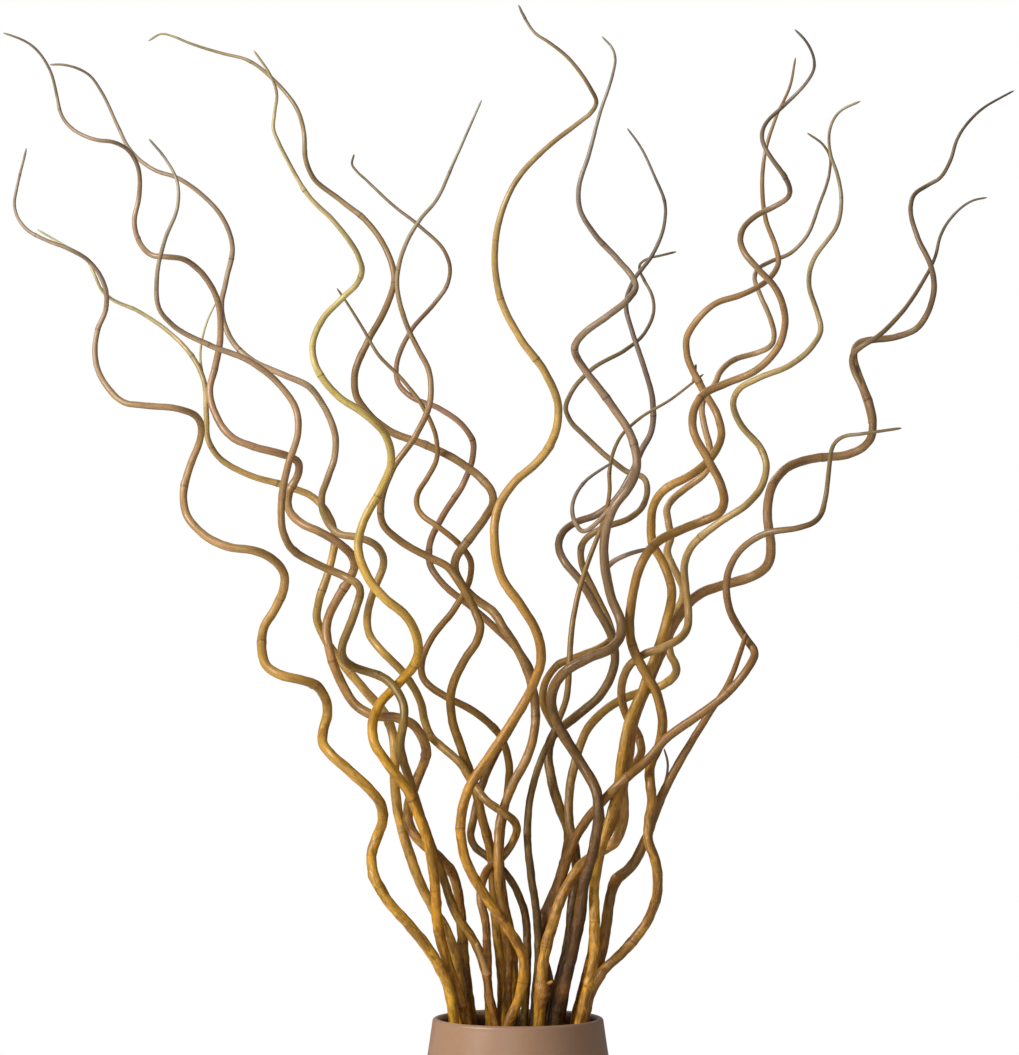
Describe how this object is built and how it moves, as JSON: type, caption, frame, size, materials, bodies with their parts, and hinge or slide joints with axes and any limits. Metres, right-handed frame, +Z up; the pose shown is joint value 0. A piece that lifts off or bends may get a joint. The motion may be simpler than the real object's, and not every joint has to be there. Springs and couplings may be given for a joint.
{
  "type": "willow stems in a vase",
  "caption": "Tall curly willow stems, bare and corkscrewed, fanned out of a plain tapered ceramic vase with a rounded lip and a flat foot; a dried floor or table arrangement.",
  "frame": {"origin": "centre of the vase's flat foot, on the ground it stands on", "axes": "+Z up along the vase axis, +X to the right across the fan of stems, -Y towards the front, +Y to the back"},
  "size_m": [0.8609, 0.3626, 1.1155],
  "materials": {
    "vase_clay": "matte unglazed taupe",
    "bark_golden": "dry willow bark, golden",
    "bark_amber": "dry willow bark, amber",
    "bark_khaki": "dry willow bark, khaki",
    "bark_brown": "dry willow bark, brown",
    "bark_grey_brown": "dry willow bark, grey brown",
    "bark_dark_brown": "dry willow bark, dark brown"
  },
  "bodies": {
    "root": {"vase": "vase_clay", "stem_left_1": "bark_amber", "stem_left_2": "bark_khaki", "stem_left_3": "bark_brown", "stem_left_4": "bark_brown", "stem_left_5": "bark_brown", "stem_left_6": "bark_golden", "stem_left_7": "bark_dark_brown", "stem_left_8": "bark_brown", "stem_mid_1": "bark_brown", "stem_mid_2": "bark_brown", "stem_mid_3": "bark_golden", "stem_mid_4": "bark_grey_brown", "stem_mid_5": "bark_grey_brown", "stem_mid_6": "bark_brown", "stem_mid_7": "bark_khaki", "stem_right_1": "bark_brown", "stem_right_2": "bark_amber", "stem_right_3": "bark_brown", "stem_right_4": "bark_khaki", "stem_right_5": "bark_dark_brown", "stem_right_6": "bark_brown", "stem_right_7": "bark_dark_brown"}
  },
  "joints": []
}
